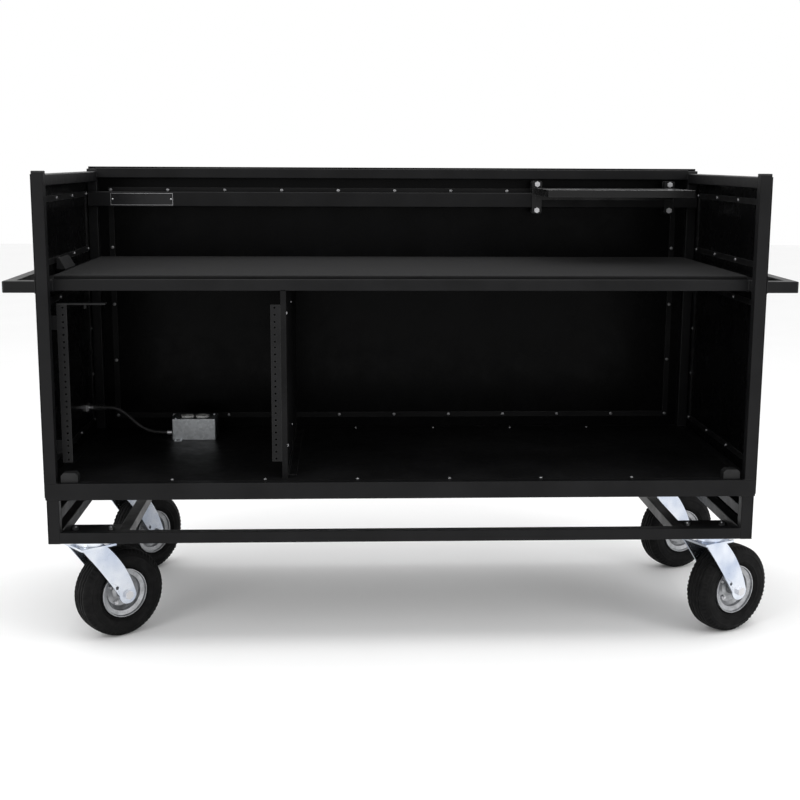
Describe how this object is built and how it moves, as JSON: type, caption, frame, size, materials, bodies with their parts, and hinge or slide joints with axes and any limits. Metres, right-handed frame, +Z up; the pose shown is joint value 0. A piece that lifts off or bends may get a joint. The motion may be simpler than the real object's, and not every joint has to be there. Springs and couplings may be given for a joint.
{
  "type": "wheeled equipment cart",
  "caption": "Steel-tube equipment cart with a carpeted shelf, a rack bay, a sliding tray, end handles and swivel casters with air tyres.",
  "frame": {"origin": "bottom centre of the whole box, on the floor, casters trailing as they rest", "axes": "+X to the right along the cart, +Y to the closed back, +Z up"},
  "size_m": [1.7546, 0.7148, 1.0815],
  "materials": {
    "frame_steel": "satin black powder coat",
    "skin_steel": "smooth gloss black",
    "strip_steel": "satin black",
    "tray_steel": "semi-gloss black",
    "rack_steel": "satin black",
    "deck_board": "black-faced board, semi-gloss",
    "divider_board": "black-painted board",
    "board_edge": "black-painted board",
    "carpet": "charcoal needle-punch carpet",
    "cap_plastic": "black moulded plastic",
    "block_plastic": "dark grey plastic",
    "badge_plastic": "blank name plate",
    "screw_steel": "dark zinc",
    "bolt_steel": "zinc plated",
    "zinc": "bright zinc plate",
    "rim_steel": "silver painted steel",
    "gland_steel": "zinc plated",
    "galvanised": "galvanised steel",
    "socket_plastic": "light grey plastic",
    "lead_rubber": "black rubber sheath",
    "tyre": "black rubber"
  },
  "bodies": {
    "cart": {"front_posts": "frame_steel", "rear_posts": "frame_steel", "tube_caps": "cap_plastic", "side_rails": "frame_steel", "rear_rail": "frame_steel", "base_long_rails": "frame_steel", "base_end_rails": "frame_steel", "base_legs": "frame_steel", "base_mid_rails": "frame_steel", "base_end_panels": "skin_steel", "lower_long_rails": "frame_steel", "lower_cross_rails": "frame_steel", "caster_pads": "frame_steel", "deck": "deck_board", "shelf_tubes": "frame_steel", "shelf_board": "board_edge", "shelf_carpet": "carpet", "left_panel": "skin_steel", "right_panel": "skin_steel", "back_panel": "skin_steel", "panel_strips": "strip_steel", "panel_screws": "screw_steel", "divider": "divider_board", "divider_angle": "strip_steel", "rack_rails": "rack_steel", "rack_brackets": "rack_steel", "corner_blocks": "block_plastic", "cable_hood": "cap_plastic", "handle_left": "frame_steel", "handle_right": "frame_steel", "accessory_rail": "frame_steel", "badge": "badge_plastic", "outlet_box": "galvanised", "outlet_cover": "galvanised", "receptacle": "socket_plastic", "cable_glands": "gland_steel", "lead_boot": "lead_rubber", "supply_lead": "lead_rubber", "power_inlet": "cap_plastic", "caster_plates": "zinc", "caster_bolts": "bolt_steel"},
    "tray_slider": {"tray": "tray_steel", "tray_clamps": "tray_steel", "tray_bolts": "bolt_steel"},
    "swivel_fl": {"fork_fl": "zinc", "axle_fl": "bolt_steel"},
    "wheel_fl": {"rim_fl": "rim_steel", "tyre_fl": "tyre"},
    "swivel_fr": {"fork_fr": "zinc", "axle_fr": "bolt_steel"},
    "wheel_fr": {"rim_fr": "rim_steel", "tyre_fr": "tyre"},
    "swivel_rl": {"fork_rl": "zinc", "axle_rl": "bolt_steel"},
    "wheel_rl": {"rim_rl": "rim_steel", "tyre_rl": "tyre"},
    "swivel_rr": {"fork_rr": "zinc", "axle_rr": "bolt_steel"},
    "wheel_rr": {"rim_rr": "rim_steel", "tyre_rr": "tyre"}
  },
  "joints": [
    {"name": "tray_slide", "type": "slide", "parent": "cart", "child": "tray_slider", "axis": [1, 0, 0], "range_m": [-0.92, 0.03]},
    {"name": "swivel_fl_turn", "type": "hinge", "parent": "cart", "child": "swivel_fl", "pos_m": [-0.72232, -0.28641, 0.2503], "axis": [0, 0, 1], "continuous": true},
    {"name": "wheel_fl_roll", "type": "hinge", "parent": "swivel_fl", "child": "wheel_fl", "pos_m": [-0.67025, -0.24424, 0.105], "axis": [-0.6293, 0.7771, 0], "continuous": true},
    {"name": "swivel_fr_turn", "type": "hinge", "parent": "cart", "child": "swivel_fr", "pos_m": [0.71168, -0.28641, 0.2503], "axis": [0, 0, 1], "continuous": true},
    {"name": "wheel_fr_roll", "type": "hinge", "parent": "swivel_fr", "child": "wheel_fr", "pos_m": [0.77084, -0.25495, 0.105], "axis": [-0.4695, 0.8829, 0], "continuous": true},
    {"name": "swivel_rl_turn", "type": "hinge", "parent": "cart", "child": "swivel_rl", "pos_m": [-0.72232, 0.21159, 0.2503], "axis": [0, 0, 1], "continuous": true},
    {"name": "wheel_rl_roll", "type": "hinge", "parent": "swivel_rl", "child": "wheel_rl", "pos_m": [-0.67925, 0.26292, 0.105], "axis": [-0.766, 0.6428, 0], "continuous": true},
    {"name": "swivel_rr_turn", "type": "hinge", "parent": "cart", "child": "swivel_rr", "pos_m": [0.71168, 0.21159, 0.2503], "axis": [0, 0, 1], "continuous": true},
    {"name": "wheel_rr_roll", "type": "hinge", "parent": "swivel_rr", "child": "wheel_rr", "pos_m": [0.77335, 0.23777, 0.105], "axis": [-0.3907, 0.9205, 0], "continuous": true}
  ]
}
